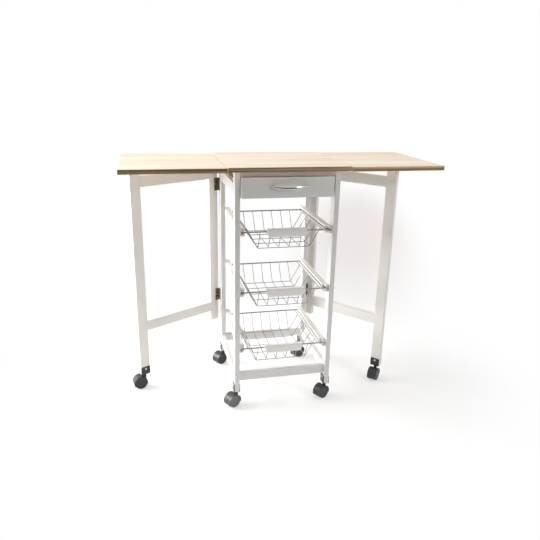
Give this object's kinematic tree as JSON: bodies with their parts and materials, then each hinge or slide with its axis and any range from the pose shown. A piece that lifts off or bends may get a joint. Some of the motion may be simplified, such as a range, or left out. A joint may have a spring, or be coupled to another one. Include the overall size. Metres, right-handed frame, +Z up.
{
  "type": "kitchen trolley",
  "caption": "Narrow kitchen trolley on casters with a folding worktop, swing-out gate legs, a drawer and sliding wire baskets.",
  "frame": {"origin": "on the floor, under the middle of the standing trolley's box", "axes": "+X to the right seen from the front, +Y to the back, +Z up"},
  "size_m": [1.0594, 0.4161, 0.857],
  "materials": {
    "board_laminate": "satin laminate with an oak grain",
    "white_paint": "satin white paint on wood",
    "drawer_wood": "plain wood",
    "hardboard": "plain hardboard",
    "handle_metal": "satin plated",
    "basket_wire": "bright plated wire",
    "clip_plastic": "light grey",
    "hinge_steel": "plated, slightly dull",
    "bracket_steel": "glossy black coating on steel",
    "caster_plastic": "satin black",
    "wheel_plastic": "matt charcoal"
  },
  "bodies": {
    "frame": {"centre_board": "board_laminate", "front_left_post": "white_paint", "front_right_post": "white_paint", "back_left_post": "white_paint", "back_right_post": "white_paint", "front_top_rail": "white_paint", "front_lower_rail": "white_paint", "back_top_rail": "white_paint", "back_lower_rail": "white_paint", "left_top_rail": "white_paint", "left_lower_rail": "white_paint", "right_top_rail": "white_paint", "right_lower_rail": "white_paint", "left_basket_rails": "white_paint", "right_basket_rails": "white_paint", "rail_clips": "clip_plastic", "drawer_runners": "drawer_wood", "leaf_hinge_bases": "hinge_steel", "gate_hinge_bases": "hinge_steel", "frame_caster_brackets": "bracket_steel"},
    "drawer": {"drawer_front": "white_paint", "drawer_left_side": "drawer_wood", "drawer_right_side": "drawer_wood", "drawer_back": "drawer_wood", "drawer_bottom": "hardboard", "drawer_handle": "handle_metal"},
    "basket_bottom": {"bottom_basket": "basket_wire", "bottom_basket_grip": "white_paint"},
    "basket_middle": {"middle_basket": "basket_wire", "middle_basket_grip": "white_paint"},
    "basket_top": {"top_basket": "basket_wire", "top_basket_grip": "white_paint"},
    "leaf_left": {"left_leaf": "board_laminate", "left_leaf_hinges": "hinge_steel"},
    "leaf_right": {"right_leaf": "board_laminate", "right_leaf_hinges": "hinge_steel"},
    "gate_left": {"left_gate_leg": "white_paint", "left_gate_hinge_post": "white_paint", "left_gate_top_rail": "white_paint", "left_gate_lower_rail": "white_paint", "left_gate_hinges": "hinge_steel", "left_gate_bracket": "bracket_steel"},
    "gate_right": {"right_gate_leg": "white_paint", "right_gate_hinge_post": "white_paint", "right_gate_top_rail": "white_paint", "right_gate_lower_rail": "white_paint", "right_gate_hinges": "hinge_steel", "right_gate_bracket": "bracket_steel"},
    "front_left_swivel": {"front_left_hood": "caster_plastic"},
    "front_left_wheelset": {"front_left_wheels": "wheel_plastic"},
    "front_right_swivel": {"front_right_hood": "caster_plastic"},
    "front_right_wheelset": {"front_right_wheels": "wheel_plastic"},
    "back_left_swivel": {"back_left_hood": "caster_plastic"},
    "back_left_wheelset": {"back_left_wheels": "wheel_plastic"},
    "back_right_swivel": {"back_right_hood": "caster_plastic"},
    "back_right_wheelset": {"back_right_wheels": "wheel_plastic"},
    "left_gate_swivel": {"left_gate_hood": "caster_plastic"},
    "left_gate_wheelset": {"left_gate_wheels": "wheel_plastic"},
    "right_gate_swivel": {"right_gate_hood": "caster_plastic"},
    "right_gate_wheelset": {"right_gate_wheels": "wheel_plastic"}
  },
  "joints": [
    {"name": "drawer_slide", "type": "slide", "parent": "frame", "child": "drawer", "axis": [0, -1, 0], "range_m": [0, 0.25]},
    {"name": "basket_bottom_slide", "type": "slide", "parent": "frame", "child": "basket_bottom", "axis": [0, -1, 0], "range_m": [0, 0.26]},
    {"name": "basket_middle_slide", "type": "slide", "parent": "frame", "child": "basket_middle", "axis": [0, -1, 0], "range_m": [0, 0.26]},
    {"name": "basket_top_slide", "type": "slide", "parent": "frame", "child": "basket_top", "axis": [0, -1, 0], "range_m": [0, 0.26]},
    {"name": "leaf_left_lift", "type": "hinge", "parent": "frame", "child": "leaf_left", "pos_m": [-0.19881, -0.00734, 0.8373], "axis": [0, 1, 0], "range_deg": [0, 5]},
    {"name": "leaf_right_lift", "type": "hinge", "parent": "frame", "child": "leaf_right", "pos_m": [0.20419, -0.00734, 0.8373], "axis": [0, -1, 0], "range_deg": [0, 5]},
    {"name": "gate_left_swing", "type": "hinge", "parent": "frame", "child": "gate_left", "pos_m": [-0.17431, 0.19306, 0.421], "axis": [0, 0, -1], "range_deg": [-46.4, 29.6]},
    {"name": "gate_right_swing", "type": "hinge", "parent": "frame", "child": "gate_right", "pos_m": [0.17969, 0.19306, 0.421], "axis": [0, 0, 1], "range_deg": [-25.6, 50.4]},
    {"name": "front_left_caster_swivel", "type": "hinge", "parent": "frame", "child": "front_left_swivel", "pos_m": [-0.16356, -0.15684, 0.056], "axis": [0, 0, 1], "continuous": true},
    {"name": "front_left_wheel_spin", "type": "hinge", "parent": "front_left_swivel", "child": "front_left_wheelset", "pos_m": [-0.17915, -0.16584, 0.023], "axis": [0.5, -0.866, 0], "continuous": true},
    {"name": "front_right_caster_swivel", "type": "hinge", "parent": "frame", "child": "front_right_swivel", "pos_m": [0.16894, -0.15684, 0.056], "axis": [0, 0, 1], "continuous": true},
    {"name": "front_right_wheel_spin", "type": "hinge", "parent": "front_right_swivel", "child": "front_right_wheelset", "pos_m": [0.15368, -0.16638, 0.023], "axis": [0.5299, -0.848, 0], "continuous": true},
    {"name": "back_left_caster_swivel", "type": "hinge", "parent": "frame", "child": "back_left_swivel", "pos_m": [-0.16356, 0.17116, 0.056], "axis": [0, 0, 1], "continuous": true},
    {"name": "back_left_wheel_spin", "type": "hinge", "parent": "back_left_swivel", "child": "back_left_wheelset", "pos_m": [-0.17866, 0.16136, 0.023], "axis": [0.5446, -0.8387, 0], "continuous": true},
    {"name": "back_right_caster_swivel", "type": "hinge", "parent": "frame", "child": "back_right_swivel", "pos_m": [0.16894, 0.17116, 0.056], "axis": [0, 0, 1], "continuous": true},
    {"name": "back_right_wheel_spin", "type": "hinge", "parent": "back_right_swivel", "child": "back_right_wheelset", "pos_m": [0.1542, 0.16084, 0.023], "axis": [0.5736, -0.8192, 0], "continuous": true},
    {"name": "left_gate_caster_swivel", "type": "hinge", "parent": "gate_left", "child": "left_gate_swivel", "pos_m": [-0.48342, 0.02983, 0.056], "axis": [0, 0, 1], "continuous": true},
    {"name": "left_gate_wheel_spin", "type": "hinge", "parent": "left_gate_swivel", "child": "left_gate_wheelset", "pos_m": [-0.50103, 0.02608, 0.023], "axis": [0.2079, -0.9781, 0], "continuous": true},
    {"name": "right_gate_caster_swivel", "type": "hinge", "parent": "gate_right", "child": "right_gate_swivel", "pos_m": [0.41069, -0.0693, 0.056], "axis": [0, 0, 1], "continuous": true},
    {"name": "right_gate_wheel_spin", "type": "hinge", "parent": "right_gate_swivel", "child": "right_gate_wheelset", "pos_m": [0.39865, -0.08268, 0.023], "axis": [0.7431, -0.6691, 0], "continuous": true}
  ]
}
